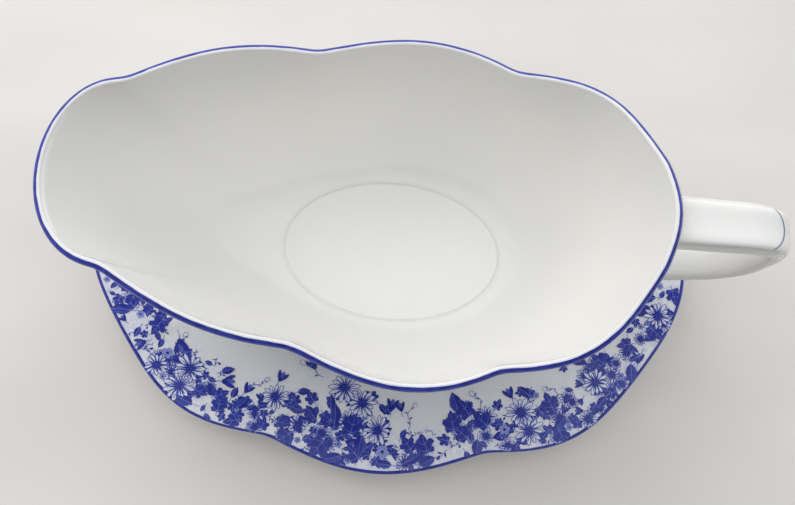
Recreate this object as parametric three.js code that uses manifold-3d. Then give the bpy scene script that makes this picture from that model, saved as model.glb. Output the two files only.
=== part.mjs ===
// Gravy boat on its underplate, in glazed bone china. The boat is a slip-cast bowl
// on an oval foot with a scalloped rim, drawn out to a broad spout at one end. Its
// strap handle is a second casting, joined to the other end. The boat stands loose
// in the oval well of a scalloped plate.
// Millimetres, +Z up, spout towards -X, handle towards +X. The origin is on the
// table, under the middle of the whole set.

import * as THREE from 'three';
import { mergeVertices } from 'three/addons/utils/BufferGeometryUtils.js';
import Module from 'manifold-3d';

const wasm = await Module();
wasm.setup();

// ---- Driving dimensions: boat ----
// The rim is a closed row of lobes that meet at cusps. Only the +Y side is given,
// from the handle end to the spout, and the other side is its mirror image.
const rimCusps = { handle: [70.9, 14.9], rear: [30.3, 43.9], front: [-28.1, 42.4], spout: [-79.5, 26.1] };
const rimBulge = { handleEnd: 3.0, rear: 8.7, middle: 7.8, front: 4.3 };
const rimSkew = { rear: 1.05, middle: 0.87, front: 0.91 };
const spoutTipX = -99.8;
const rimHeightAtMiddle = 72.5;
const rimHeightCurve = [-10.4, 26.2, 27.9];     // rise per 100 mm along X, its square and its cube
const lipThickness = 2.0;
const lipRound = 0.8;

const floorOval = [37.8, 24.9];                 // crease where the inside wall meets the floor
const floorOvalHeight = 15.0;
const wellOval = [36.0, 23.1];                  // flat middle of the floor
const wellFloorHeight = 14.4;
const footOval = [40.4, 27.5];                  // outside of the foot ring
const footRingWidth = 3.2;
const footClearance = 0.3;                      // gap between the foot and the plate
const footHeight = 4.9;
const footTaper = 1.6;
const bellyHeights = [0.04, 0.5];               // wall profile: how fast it climbs
const bellySpread = [0.56, 0.88];               // and how fast it spreads, on the sides
const bellySpreadSpout = [0.5, 0.76];           // and towards the spout
const scallopFade = 2.5;                        // how fast the scallops fade out down the wall

// ---- Driving dimensions: handle ----
// The middle line of the strap, in the XZ plane, from the rim round to the belly.
const handleLine = [
  [66.5, 83.2], [84, 83.3], [98.5, 83.2], [105.1, 80.6], [108.5, 74], [109.2, 63],
  [108.1, 51.6], [102.6, 42.8], [93, 38], [79, 34.2], [66, 31.2], [52, 29],
];
const strapWidth = [13.2, 11.8, 14.5];          // at the rim, round the bend, at the belly
const strapThickness = 5.6;
const handleAside = -0.5;                       // it was stuck on a little to one side
const handleGap = 0.45;

// ---- Driving dimensions: underplate ----
const plateCusps = { end: [85.9, 38.3], side: [36.5, 65.7] };
const plateBulge = { end: 17.2, corner: 8.2, side: 9.7 };
const plateEdgeHeight = 14.9;
const plateWellHeight = 6.5;
const plateVergeRise = 2.3;
const plateVergeWidth = 0.3;                    // part of the way from the well to the edge
const plateThickness = 3.1;
const plateEdgeThickness = 2.2;
const plateWell = [46.5, 33.5];
const plateFootOval = [49.5, 34.5];
const plateFootWidth = 3.4;
const plateFootTaper = 1.5;

// ---- Resolution ----
const outlineSamples = 256;
const softenPasses = 2;                         // rounds the cusps to about 2 mm
const fadePasses = 3;                           // rounds the faded outline to about 10 mm
const pointsAround = 64;
const wallRings = 8;
const handleSteps = 30;
const strapSides = 14;

// The handle reaches past the plate, so the set's middle lies off the foot's middle.
const handleReach = 112.0;
const plateReach = plateCusps.end[0] + plateBulge.end;
const middleX = (handleReach - plateReach) / 2;

// ---- Outlines ----

// Points along one lobe, which bulges to the right of the way from a to b.
function lobe(a, b, bulge, skew = 1, count = 40) {
  const along = [b[0] - a[0], b[1] - a[1]];
  const length = Math.hypot(along[0], along[1]);
  const out = [along[1] / length, -along[0] / length];
  const points = [];
  for (let i = 0; i < count; i++) {
    const t = i / count;
    const swell = bulge * Math.sin(Math.PI * t ** skew);
    points.push([a[0] + along[0] * t + out[0] * swell, a[1] + along[1] * t + out[1] * swell]);
  }
  return points;
}

// Evenly spaced points on a closed outline, counted from where it starts.
function spaced(points, count) {
  const lengths = points.map((p, i) => {
    const q = points[(i + 1) % points.length];
    return Math.hypot(q[0] - p[0], q[1] - p[1]);
  });
  const step = lengths.reduce((sum, length) => sum + length, 0) / count;
  const result = [];
  let index = 0;
  let before = 0;
  for (let k = 0; k < count; k++) {
    while (index < points.length - 1 && before + lengths[index] < k * step) {
      before += lengths[index];
      index++;
    }
    const t = (k * step - before) / lengths[index];
    const p = points[index];
    const q = points[(index + 1) % points.length];
    result.push([p[0] + (q[0] - p[0]) * t, p[1] + (q[1] - p[1]) * t]);
  }
  return result;
}

// Rounds the cusps by averaging each point with its neighbours.
function softened(points, passes) {
  let result = points;
  for (let pass = 0; pass < passes; pass++) {
    const last = result;
    const n = last.length;
    result = last.map((p, i) => {
      const a = last[(i + n - 1) % n];
      const b = last[(i + 1) % n];
      return [(a[0] + 2 * p[0] + b[0]) / 4, (a[1] + 2 * p[1] + b[1]) / 4];
    });
  }
  return result;
}

function mirrored(points, signX, signY) {
  return points.map(([x, y]) => [x * signX, y * signY]).reverse();
}

function finishOutline(points) {
  const smooth = softened(spaced(points, outlineSamples), softenPasses);
  const skip = outlineSamples / pointsAround;
  return smooth.filter((point, i) => i % skip === 0);
}

function rimOutline() {
  const { handle, rear, front, spout } = rimCusps;
  const halfEnd = lobe([handle[0], -handle[1]], handle, rimBulge.handleEnd).slice(20);
  const side = [
    ...halfEnd,
    ...lobe(handle, rear, rimBulge.rear, rimSkew.rear),
    ...lobe(rear, front, rimBulge.middle, rimSkew.middle),
    ...lobe(front, spout, rimBulge.front, rimSkew.front),
  ];
  const spoutCurve = new THREE.EllipseCurve(
    spout[0], 0, spout[0] - spoutTipX, spout[1], Math.PI / 2, (3 * Math.PI) / 2,
  );
  const tip = spoutCurve.getPoints(40).map((p) => [p.x, p.y]);
  return finishOutline([...side, ...tip, ...mirrored(side.slice(1), 1, -1)]);
}

function plateOutline() {
  const { end, side } = plateCusps;
  const quarter = [
    ...lobe([end[0], -end[1]], end, plateBulge.end).slice(20),
    ...lobe(end, side, plateBulge.corner),
    ...lobe(side, [-side[0], side[1]], plateBulge.side).slice(0, 21),
  ];
  const half = [...quarter, ...mirrored(quarter.slice(1, -1), -1, 1), [-plateReach, 0]];
  return finishOutline([...half, ...mirrored(half.slice(1, -1), 1, -1)]);
}

// The outline moved outwards by a distance, or inwards when it is negative.
function offset(outline, distance) {
  const n = outline.length;
  return outline.map(([x, y], i) => {
    const a = outline[(i + n - 1) % n];
    const b = outline[(i + 1) % n];
    const tangent = [b[0] - a[0], b[1] - a[1]];
    const length = Math.hypot(tangent[0], tangent[1]);
    return [x + (tangent[1] / length) * distance, y - (tangent[0] / length) * distance];
  });
}

// The point of an oval that lies in line with each point of an outline.
function ovalUnder(outline, [a, b]) {
  const spanX = Math.max(...outline.map((p) => Math.abs(p[0])));
  const spanY = Math.max(...outline.map((p) => Math.abs(p[1])));
  return outline.map(([x, y]) => {
    const angle = Math.atan2(y / spanY, x / spanX);
    return [a * Math.cos(angle), b * Math.sin(angle)];
  });
}

// ---- Solids ----

function atHeight(outline, height) {
  return outline.map(([x, y]) => new THREE.Vector3(x, y, typeof height === 'function' ? height(x) : height));
}

// A closed body through a row of rings, with a fan over its first and last ring.
function loft(rings, startHeight, endHeight) {
  const count = rings[0].length;
  const positions = rings.flat().flatMap((p) => [p.x, p.y, p.z]);
  const start = positions.length / 3;
  positions.push(0, 0, startHeight, 0, 0, endHeight);
  const faces = [];
  for (let ring = 0; ring < rings.length - 1; ring++) {
    for (let i = 0; i < count; i++) {
      const next = (i + 1) % count;
      const a = ring * count + i;
      const b = ring * count + next;
      faces.push(a, b, b + count, a, b + count, a + count);
    }
  }
  const top = (rings.length - 1) * count;
  for (let i = 0; i < count; i++) {
    const next = (i + 1) % count;
    faces.push(start, next, i, start + 1, top + i, top + next);
  }
  const geometry = new THREE.BufferGeometry();
  geometry.setAttribute('position', new THREE.Float32BufferAttribute(positions, 3));
  geometry.setIndex(faces);
  geometry.computeVertexNormals();
  return geometry;
}

function bezier(controls, t) {
  const s = 1 - t;
  return 3 * s * s * t * controls[0] + 3 * s * t * t * controls[1] + t ** 3;
}

function rimHeight(x) {
  const s = x / 100;
  const [slope, square, cube] = rimHeightCurve;
  return rimHeightAtMiddle + slope * s + square * s * s + cube * s ** 3;
}

// Rings of the bowl's wall between an oval low down and the rim above it. The
// rim's scallops fade out down the wall.
function wallBetween(oval, ovalHeight, rim, rimDrop, steps) {
  const rings = [];
  const faded = softened(rim, fadePasses);
  for (let step = 0; step <= steps; step++) {
    const t = step / steps;
    const keep = t ** scallopFade;
    rings.push(rim.map(([rimX, rimY], i) => {
      const x = faded[i][0] + (rimX - faded[i][0]) * keep;
      const y = faded[i][1] + (rimY - faded[i][1]) * keep;
      const towardSpout = Math.max(0, -oval[i][0] / Math.hypot(oval[i][0], oval[i][1])) ** 2;
      const spread = bellySpread.map((side, k) => side + (bellySpreadSpout[k] - side) * towardSpout);
      const out = bezier(spread, t);
      const up = bezier(bellyHeights, t);
      const top = rimHeight(x) - rimDrop;
      return new THREE.Vector3(
        oval[i][0] + (x - oval[i][0]) * out,
        oval[i][1] + (y - oval[i][1]) * out,
        ovalHeight + (top - ovalHeight) * up,
      );
    }));
  }
  return rings;
}

function boatBodyGeometry() {
  const rim = rimOutline();
  const outer = offset(rim, lipThickness / 2);
  const inner = offset(rim, -lipThickness / 2);
  const base = plateWellHeight + footClearance;
  const waist = ovalUnder(rim, [footOval[0] - footTaper, footOval[1] - footTaper]);
  const footInner = [footOval[0] - footRingWidth, footOval[1] - footRingWidth];
  const recess = [footInner[0] - footTaper / 2, footInner[1] - footTaper / 2];
  const recessHeight = base + footHeight - footTaper;
  const rings = [
    atHeight(ovalUnder(rim, recess), recessHeight),
    atHeight(ovalUnder(rim, footInner), base),
    atHeight(ovalUnder(rim, footOval), base),
    ...wallBetween(waist, base + footHeight, outer, lipRound, wallRings),
    atHeight(offset(rim, lipThickness / 2 - lipRound), rimHeight),
    atHeight(offset(rim, lipRound - lipThickness / 2), rimHeight),
    ...wallBetween(ovalUnder(rim, floorOval), floorOvalHeight, inner, lipRound, wallRings).reverse(),
    atHeight(ovalUnder(rim, wellOval), wellFloorHeight),
  ];
  return loft(rings, recessHeight, wellFloorHeight);
}

// The space that the boat takes up, its bowl filled in, a little larger all round.
function filledBoatGeometry() {
  const rim = rimOutline();
  const foot = ovalUnder(rim, [footOval[0] - footTaper + handleGap, footOval[1] - footTaper + handleGap]);
  const wall = wallBetween(foot, plateWellHeight + footHeight, offset(rim, lipThickness / 2 + handleGap), 0, wallRings);
  return loft(wall, plateWellHeight, rimHeightAtMiddle);
}

// The strap's width part of the way round: waisted over the bend, spread at the belly.
function widthAt(t) {
  const [atRim, atBend, atBelly] = strapWidth;
  if (t < 0.4) {
    return THREE.MathUtils.lerp(atRim, atBend, t / 0.4);
  }
  return THREE.MathUtils.lerp(atBend, atBelly, THREE.MathUtils.smoothstep(t, 0.55, 1));
}

function handleBlankGeometry() {
  const line = new THREE.CatmullRomCurve3(handleLine.map(([x, z]) => new THREE.Vector3(x, 0, z)), false, 'centripetal');
  const positions = [];
  for (let step = 0; step <= handleSteps; step++) {
    const t = step / handleSteps;
    const centre = line.getPointAt(t);
    const tangent = line.getTangentAt(t);
    const out = new THREE.Vector3(-tangent.z, 0, tangent.x);
    for (let side = 0; side < strapSides; side++) {
      const angle = (2 * Math.PI * side) / strapSides;
      const flat = (value) => Math.sign(value) * Math.abs(value) ** 0.55;
      const across = flat(Math.cos(angle)) * widthAt(t) / 2;
      const through = flat(Math.sin(angle)) * strapThickness / 2;
      const point = centre.clone().addScaledVector(out, through);
      positions.push(point.x, across + handleAside, point.z);
    }
  }
  const faces = [];
  for (let step = 0; step < handleSteps; step++) {
    for (let side = 0; side < strapSides; side++) {
      const a = step * strapSides + side;
      const b = step * strapSides + ((side + 1) % strapSides);
      faces.push(a, b, b + strapSides, a, b + strapSides, a + strapSides);
    }
  }
  const last = handleSteps * strapSides;
  for (let side = 1; side < strapSides - 1; side++) {
    faces.push(0, side + 1, side, last, last + side, last + side + 1);
  }
  const geometry = new THREE.BufferGeometry();
  geometry.setAttribute('position', new THREE.Float32BufferAttribute(positions, 3));
  geometry.setIndex(faces);
  return geometry;
}

function toSolid(geometry) {
  geometry.deleteAttribute('normal');
  const merged = mergeVertices(geometry, 1e-4);
  const mesh = new wasm.Mesh({
    numProp: 3,
    vertProperties: Float32Array.from(merged.attributes.position.array),
    triVerts: Uint32Array.from(merged.index.array),
  });
  return new wasm.Manifold(mesh);
}

function handleGeometry() {
  const cut = toSolid(handleBlankGeometry()).subtract(toSolid(filledBoatGeometry())).getMesh();
  const geometry = new THREE.BufferGeometry();
  geometry.setAttribute('position', new THREE.Float32BufferAttribute(cut.vertProperties, 3));
  geometry.setIndex(Array.from(cut.triVerts));
  geometry.computeVertexNormals();
  return geometry;
}

// Height of the plate's upper side, part of the way from its well to its edge.
function plateTop(part) {
  const verge = plateVergeRise * THREE.MathUtils.smoothstep(part, 0, plateVergeWidth);
  const flange = (plateEdgeHeight - plateWellHeight - plateVergeRise) * part;
  return plateWellHeight + verge + flange;
}

function underplateGeometry() {
  const edge = plateOutline();
  const well = ovalUnder(edge, plateWell);
  const ring = (part, height, inset = 0) => {
    const target = offset(edge, -inset);
    const points = well.map(([x, y], i) => [x + (target[i][0] - x) * part, y + (target[i][1] - y) * part]);
    return atHeight(points, height);
  };
  const footInner = [plateFootOval[0] - plateFootWidth, plateFootOval[1] - plateFootWidth];
  const recess = [footInner[0] - plateFootTaper, footInner[1] - plateFootTaper];
  const footTop = [plateFootOval[0] + plateFootTaper, plateFootOval[1] + plateFootTaper];
  const underside = (part) => plateTop(part) - THREE.MathUtils.lerp(plateThickness, plateEdgeThickness, part);
  const recessHeight = plateWellHeight - plateThickness;
  const rings = [
    atHeight(ovalUnder(edge, recess), recessHeight),
    atHeight(ovalUnder(edge, footInner), 0),
    atHeight(ovalUnder(edge, plateFootOval), 0),
    atHeight(ovalUnder(edge, footTop), underside(0.1)),
    ...[0.3, 0.55, 0.8].map((part) => ring(part, underside(part))),
    ring(1, underside(1) + 0.4, 0.7),
    ring(1, plateEdgeHeight - 0.9),
    ring(1, plateEdgeHeight, 0.9),
    ...[0.85, 0.6, 0.4, 0.27, 0.18, 0.09].map((part) => ring(part, plateTop(part))),
    ring(0, plateWellHeight),
  ];
  return loft(rings, recessHeight, plateWellHeight);
}

// ---- Assembly ----

function china(color) {
  return new THREE.MeshStandardMaterial({ color, roughness: 0.12, metalness: 0 });
}

function piece(name, geometry, material) {
  const mesh = new THREE.Mesh(geometry, material);
  mesh.name = name;
  return mesh;
}

const set = new THREE.Group();
set.position.x = -middleX;
set.add(piece('underplate', underplateGeometry(), china(0xe9ecf4)));
set.add(piece('boat_body', boatBodyGeometry(), china(0xf1f2f0)));
set.add(piece('handle', handleGeometry(), china(0xf1f0ee)));

export default set;
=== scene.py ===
"""Gravy boat on its underplate: the fine surfaces, the glaze, the cobalt lines and the print.

Lengths are in millimetres, measured from the middle of the boat's foot on the table, and
row_points() turns them into the frame's metres. The lights, the floor and the materials
are in metres.
"""

import math
import random

import bpy
import numpy as np
from mathutils import Matrix, Vector
from mathutils.bvhtree import BVHTree


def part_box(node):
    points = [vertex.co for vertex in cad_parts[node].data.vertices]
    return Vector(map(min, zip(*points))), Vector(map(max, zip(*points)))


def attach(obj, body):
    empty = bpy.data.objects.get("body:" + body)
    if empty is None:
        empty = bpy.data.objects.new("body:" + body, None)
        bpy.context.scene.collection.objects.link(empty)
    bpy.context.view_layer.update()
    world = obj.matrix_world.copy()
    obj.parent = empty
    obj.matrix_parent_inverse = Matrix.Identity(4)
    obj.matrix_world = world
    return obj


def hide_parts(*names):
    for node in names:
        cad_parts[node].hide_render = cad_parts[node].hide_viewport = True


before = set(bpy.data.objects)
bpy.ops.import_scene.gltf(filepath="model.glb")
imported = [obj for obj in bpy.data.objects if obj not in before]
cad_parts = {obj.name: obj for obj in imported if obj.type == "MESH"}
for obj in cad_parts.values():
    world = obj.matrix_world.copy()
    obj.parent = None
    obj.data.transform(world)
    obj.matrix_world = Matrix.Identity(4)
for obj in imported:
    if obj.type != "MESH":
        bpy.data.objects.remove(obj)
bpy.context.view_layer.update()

MM = 0.001

# ---- The boat, as in the part's source ----
RIM_CUSPS = {
    "handle": (70.9, 14.9), "rear": (30.3, 43.9), "front": (-28.1, 42.4), "spout": (-79.5, 26.1),
}
RIM_BULGE = {"handle_end": 3.0, "rear": 8.7, "middle": 7.8, "front": 4.3}
RIM_SKEW = {"rear": 1.05, "middle": 0.87, "front": 0.91}
SPOUT_TIP_X = -99.8
RIM_HEIGHT = (72.5, -10.4, 26.2, 27.9)  # in the middle, then its rise per 100 mm, squared, cubed
FLOOR_OVAL = (37.8, 24.9)
FLOOR_HEIGHT = 15.0
FOOT_OVAL = (40.4, 27.5)
FOOT_RING_WIDTH = 3.2
FOOT_BASE = 6.8
FOOT_HEIGHT = 4.9
FOOT_TAPER = 1.6
BELLY_HEIGHTS = (0.04, 0.5)
BELLY_SPREAD = (0.56, 0.88)
BELLY_SPREAD_SPOUT = (0.5, 0.76)
SCALLOP_FADE = 2.5                  # how fast the scallops fade out down the wall
FADED_ROUNDING = 10.0

# ---- The fine shape of its floor and foot, and of its lip ----
WELL_OVAL = (34.2, 21.3)            # a little smaller and deeper than the part's own
WELL_FLOOR = 14.2
FLOOR_CREASE = (0.5, -0.6)          # (inset from the floor's oval, height above it)
FLOOR_BEAD = (1.2, -0.2)
FOOT_PROFILE = (                    # (inset from its outside, height above its base), from its hollow
    (FOOT_RING_WIDTH + FOOT_TAPER / 2, FOOT_HEIGHT - FOOT_TAPER - 0.2), (FOOT_RING_WIDTH + 0.5, 1.2),
    (FOOT_RING_WIDTH, 0.4), (FOOT_RING_WIDTH - 0.5, 0), (FOOT_RING_WIDTH / 2, 0), (0.6, 0),
    (0.1, 0.5), (0.3, 1.6), (1.2, 3.2), (1.7, 4.2),
)
BARE_HEIGHT = 0.55                  # below this a foot has no glaze
OUTSIDE_RINGS = 62
INSIDE_RINGS = 56
LIP_OUTSIDE = 1.0
LIP_CROWN = -0.6
LIP_INSIDE = -1.2
LIP_FALL_OUTSIDE = 1.5
LIP_FALL_INSIDE = 0.6

# ---- The handle ----
HANDLE_LINE = (
    (66.5, 83.2), (84, 83.3), (98.5, 83.2), (105.1, 80.6), (108.5, 74), (109.2, 63),
    (108.1, 51.6), (102.6, 42.8), (93, 38), (79, 34.2), (66, 31.2), (52, 29),
)
STRAP_WIDTH = (13.2, 11.8, 14.5)    # at the rim, round the bend, at the belly
STRAP_THICKNESS = 5.6
HANDLE_ASIDE = -0.5                 # it was stuck on a little to one side
STRAP_CHANNEL = 0.5                 # how deep the top is dished
STRAP_GROOVE = 0.55                 # the groove along its sides
STRAP_LEDGE = 1.1                   # how far the sides stand out below the groove
STRAP_STEPS = 260
STRAP_SIDES = 96
HANDLE_CLEAR = (0.12, 0.86)         # from here to here the strap is outside the wall, as shares
HANDLE_FILLET = 2.2
HANDLE_FINE_END = 5.0               # its rings lie closer together over this much at each end
WALL_BITE = 0.7                     # how far the strap runs into the wall

# ---- The painted lines ----
BOAT_LINE = (0.35, 2.3)             # from and to, measured out from the top of the lip
PLATE_LINE = (-0.6, 2.2)
LINE_BLEED = 0.9                    # how far the cobalt has run into the glaze beside the line
HANDLE_LINE_AT = 33.7               # where the thin line crosses the strap, along it
HANDLE_LINE_SAG = 2.7               # and how far it falls back at the strap's edges
HANDLE_LINE_SCALE = 5.0             # it is this much narrower than it would be on a lip
HANDLE_LINE_SPAN = (-0.15, 2.6)
HANDLE_LINE_TOP = 0.3               # it stays on the top, where the sine of the angle is over this
NO_LINE = -9.0                      # a distance well away from any line

# ---- Colours ----
BOAT_WHITE = ((0.91, 0.895, 0.865, 1), (0.885, 0.875, 0.855, 1))
PLATE_WHITE = ((0.83, 0.84, 0.86, 1), (0.8, 0.81, 0.84, 1))
# the cobalt's deep colour, then a lighter one used for the paint's patches and for a painted highlight
# along the middle of the line
LINE_INK_AND_HIGHLIGHT = ((0.006, 0.012, 0.21, 1), (0.055, 0.083, 0.56, 1))
# the same pair for the handle's thin line: deep colour, then paint patches and painted highlight
HANDLE_LINE_INK_AND_HIGHLIGHT = ((0.2, 0.21, 0.36, 1), (0.3, 0.32, 0.5, 1))
BLED_BLUE = (0.6, 0.6, 0.94, 1)
WASH_BLUE = (0.36, 0.4, 0.78, 1)
SPECK_BROWN = (0.45, 0.4, 0.36, 1)
BISCUIT = ((0.66, 0.6, 0.52, 1), (0.8, 0.76, 0.7, 1))
PRINT_PALE = (0.78, 0.8, 0.9, 1)
PRINT_MIDDLE = (0.13, 0.19, 0.64, 1)
PRINT_DEEP = (0.006, 0.015, 0.29, 1)
# the cloth's colour in the painted shade of its fold hollows, then on the fold crests
CLOTH_SHADED_AND_LIT = ((0.77, 0.735, 0.7, 1), (0.82, 0.785, 0.75, 1))
ROOM_WHITE = (0.95, 0.975, 1.0, 1)
WINDOW_WHITE = (1.0, 0.985, 0.96)

# ---- The print ----
PRINT_LIFT = 0.035
PRINT_LAYER = 0.018
PRINT_STEP = 0.004                  # stamps that overlap are this far apart in height,
PRINT_HEIGHTS = 16                  # and the heights come round again after this many
SPRAY_LIFT = 0.11                   # the sprays lie this far above the small stamps round them
DROP_FROM = 5.0                     # a stamp's points drop onto the surface from this high
DROP_REACH = 9.0
PLATE_WASH = 2.0                    # how far the pale wash spreads round a stamp
BOAT_WASH = 4.5
BOAT_WASH_STRENGTH = 0.4
WASH_DEPTH = 11.0                   # how far in from the plate's edge the wash stays strong
WASH_LEAST = 0.35                   # and how strong it is past that
BUNCH_EDGE = 2.6                    # bunched stamps keep this far from the edge
BUNCH_ROOM = 1.9                    # and from one another
BUNCH_TRIES = 2                     # places tried for each stamp that a bunch asks for
PETAL_STEPS = (0.0, 0.12, 0.3, 0.5, 0.7, 0.86, 0.96, 1.0)
DOT_ANGLES = tuple(math.tau * k / 8 for k in range(8))

# ---- The underplate, as in the part's source ----
PLATE_CUSPS = {"end": (85.9, 38.3), "side": (36.5, 65.7)}
PLATE_BULGE = {"end": 17.2, "corner": 8.2, "side": 9.7}
PLATE_EDGE_HEIGHT = 14.9
PLATE_WELL_HEIGHT = 6.5
PLATE_VERGE_RISE = 2.3
PLATE_VERGE_WIDTH = 0.3             # as a share of the way from the well to the edge
PLATE_THICKNESS = 3.1
PLATE_EDGE_THICKNESS = 2.2
PLATE_WELL = (46.5, 33.5)
PLATE_FOOT_OVAL = (49.5, 34.5)
PLATE_FOOT_WIDTH = 3.4
PLATE_FOOT_TAPER = 1.5

# ---- And its fine shape ----
PLATE_FOOT_PROFILE = (              # (inset from its outside, height), from its hollow
    (PLATE_FOOT_WIDTH + PLATE_FOOT_TAPER, PLATE_WELL_HEIGHT - PLATE_THICKNESS - 0.15),
    (PLATE_FOOT_WIDTH + 0.3, 1.0), (PLATE_FOOT_WIDTH, 0.3), (PLATE_FOOT_WIDTH - 0.5, 0),
    (0.6, 0), (0.1, 0.4), (-0.4, 1.6),
)
PLATE_ROUNDING = (1.0, 0.95)        # how far the edge's rounding reaches inwards, and up and down
PLATE_RIDGE = 0.4                   # the low ridges that run in from the cusps
PLATE_RIDGE_WIDTH = 1.3             # degrees
PLATE_TOP_RINGS = 84
PLATE_UNDER_RINGS = 30

CUSP_ROUNDING = 2.0                 # how far the cusps are smoothed out
LOBE_POINTS = 120
AROUND = 480                        # points round an outline

foot_low, foot_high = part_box("underplate")
FOOT_X = (foot_low.x + foot_high.x) / 2 / MM


def row_points(points):
    """Points in the foot's millimetres, as metres in the frame."""
    return (np.asarray(points, float) + (FOOT_X, 0, 0)) * MM


# ---- Camera, lights and floor ----

CAMERA_AT = (-10.1, -69.7, 319.4)
CAMERA_TURN = (9.90, -12.98, 14.65)  # about the upright, the tilt and the roll, degrees
LENS = 40.91
SENSOR_WIDTH = 36
SKY_DIRECTION = (0.0, 0.64, 0.77)   # where the room is brightest
SKY_SPREAD = (-0.4, 0.85)           # the cosines at which the room is darkest and brightest
ROOM_LIGHT = (0.0, 1.08)            # how bright it is there
WINDOW_AT = (-0.55, 0.55, 0.65)
WINDOW_SIZE = (0.9, 0.7)
WINDOW_WATTS = 3.4
FLOOR_SIZE = 6
FOLD_STRETCH = (1.0, 2.2, 1.0)
FOLD_BEARING = 25                   # degrees


def add_object(name, data):
    obj = bpy.data.objects.new(name, data)
    bpy.context.scene.collection.objects.link(obj)
    return obj


def turn(axis, degrees):
    return Matrix.Rotation(math.radians(degrees), 3, axis)


def make_camera():
    azimuth, tilt, roll = CAMERA_TURN
    looking_down = Matrix(((1, 0, 0), (0, -1, 0), (0, 0, -1)))
    view = turn("Z", roll) @ turn("X", tilt) @ looking_down @ turn("Z", azimuth)
    right, down, forward = view
    data = bpy.data.cameras.new("camera")
    data.sensor_width = SENSOR_WIDTH
    data.lens = LENS
    data.clip_start = 0.01
    camera = add_object("camera", data)
    axes = Matrix((right, -down, -forward)).transposed()
    camera.matrix_world = Matrix.Translation(Vector(row_points(CAMERA_AT))) @ axes.to_4x4()
    bpy.context.scene.camera = camera


def make_window():
    """A soft area light that gives no mirror image of itself on the glaze."""
    data = bpy.data.lights.new("window", "AREA")
    data.shape = "RECTANGLE"
    data.size, data.size_y = WINDOW_SIZE
    data.energy = WINDOW_WATTS
    data.color = WINDOW_WHITE
    light = add_object("window", data)
    light.location = WINDOW_AT
    toward_boat = Vector((0, 0, 0.04)) - Vector(WINDOW_AT)
    light.rotation_euler = toward_boat.to_track_quat("-Z", "Y").to_euler()
    light.visible_glossy = False


def make_room():
    """Even light from all round, brightest in one direction."""
    bpy.context.scene.view_settings.view_transform = "Standard"
    world = bpy.data.worlds.new("soft_room")
    nodes = Nodes(world)
    background = nodes.tree.nodes["Background"]
    background.inputs["Color"].default_value = ROOM_WHITE
    directions = {0: nodes.place("Generated"), 1: SKY_DIRECTION}
    toward_sky = nodes.add("ShaderNodeVectorMath", "Value", directions, operation="DOT_PRODUCT")
    light = nodes.ramp(toward_sky, *SKY_SPREAD, ROOM_LIGHT)
    nodes.fill(background.inputs["Strength"], light)
    bpy.context.scene.world = world


def pale_cloth():
    """White cloth with faint folds, its colour darker in their hollows and lighter on their crests as
    painted shade.
    """
    material, nodes = new_material("pale_cloth")
    turned = (0, 0, math.radians(FOLD_BEARING))
    inputs = {"Vector": nodes.place(), "Rotation": turned, "Scale": FOLD_STRETCH}
    folds = nodes.noise(nodes.add("ShaderNodeMapping", "Vector", inputs), 7.0, 2.0, 0.4)
    # painted shade: the colour follows the fold heights, darker in the hollows and lighter on the crests
    color = nodes.mix(nodes.ramp(folds, 0.3, 0.7), *CLOTH_SHADED_AND_LIT)
    nodes.shade(Base_Color=color, Roughness=0.9, Normal=nodes.bump(folds, strength=0.35, distance=0.01))
    return material


def make_floor():
    bpy.ops.mesh.primitive_plane_add(size=FLOOR_SIZE, location=(0, 0, 0))
    floor = bpy.context.object
    floor.name = "floor"
    floor.data.materials.append(pale_cloth())


# ---- Outlines ----

def lobe(a, b, bulge, skew=1.0):
    """Points of one lobe, which bulges to the right of the way from a to b."""
    a, b = np.array(a, float), np.array(b, float)
    along = b - a
    out = np.array([along[1], -along[0]]) / np.hypot(*along)
    t = np.linspace(0, 1, LOBE_POINTS, endpoint=False)[:, None]
    return a + along * t + out * bulge * np.sin(np.pi * t ** skew)


def mirrored(points, sign_x, sign_y):
    return points[::-1] * (sign_x, sign_y)


def softened(outline, rounding):
    """A closed, evenly spaced outline, smoothed by a bell curve of this width."""
    step = np.linalg.norm(outline - np.roll(outline, 1, axis=0), axis=1).mean()
    frequency = np.fft.fftfreq(len(outline), d=step)
    bell = np.exp(-2 * (np.pi * frequency * rounding) ** 2)
    smooth = np.fft.ifft(np.fft.fft(outline[:, 0] + 1j * outline[:, 1]) * bell)
    return np.stack([smooth.real, smooth.imag], axis=1)


def finish_outline(points):
    """Evenly spaced points on a closed outline, with its cusps rounded."""
    closed = np.vstack([points, points[:1]])
    run = np.concatenate([[0], np.cumsum(np.hypot(*np.diff(closed, axis=0).T))])
    at = np.linspace(0, run[-1], AROUND, endpoint=False)
    even = np.stack([np.interp(at, run, closed[:, k]) for k in range(2)], axis=1)
    return softened(even, CUSP_ROUNDING)


def rim_outline():
    handle, rear, front, spout = RIM_CUSPS.values()
    side = np.vstack([
        lobe((handle[0], -handle[1]), handle, RIM_BULGE["handle_end"])[LOBE_POINTS // 2:],
        lobe(handle, rear, RIM_BULGE["rear"], RIM_SKEW["rear"]),
        lobe(rear, front, RIM_BULGE["middle"], RIM_SKEW["middle"]),
        lobe(front, spout, RIM_BULGE["front"], RIM_SKEW["front"]),
    ])
    angle = np.linspace(math.pi / 2, 3 * math.pi / 2, 121)
    reach = spout[0] - SPOUT_TIP_X
    tip = np.stack([spout[0] + reach * np.cos(angle), spout[1] * np.sin(angle)], axis=1)
    return finish_outline(np.vstack([side, tip, mirrored(side[1:], 1, -1)]))


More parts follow.
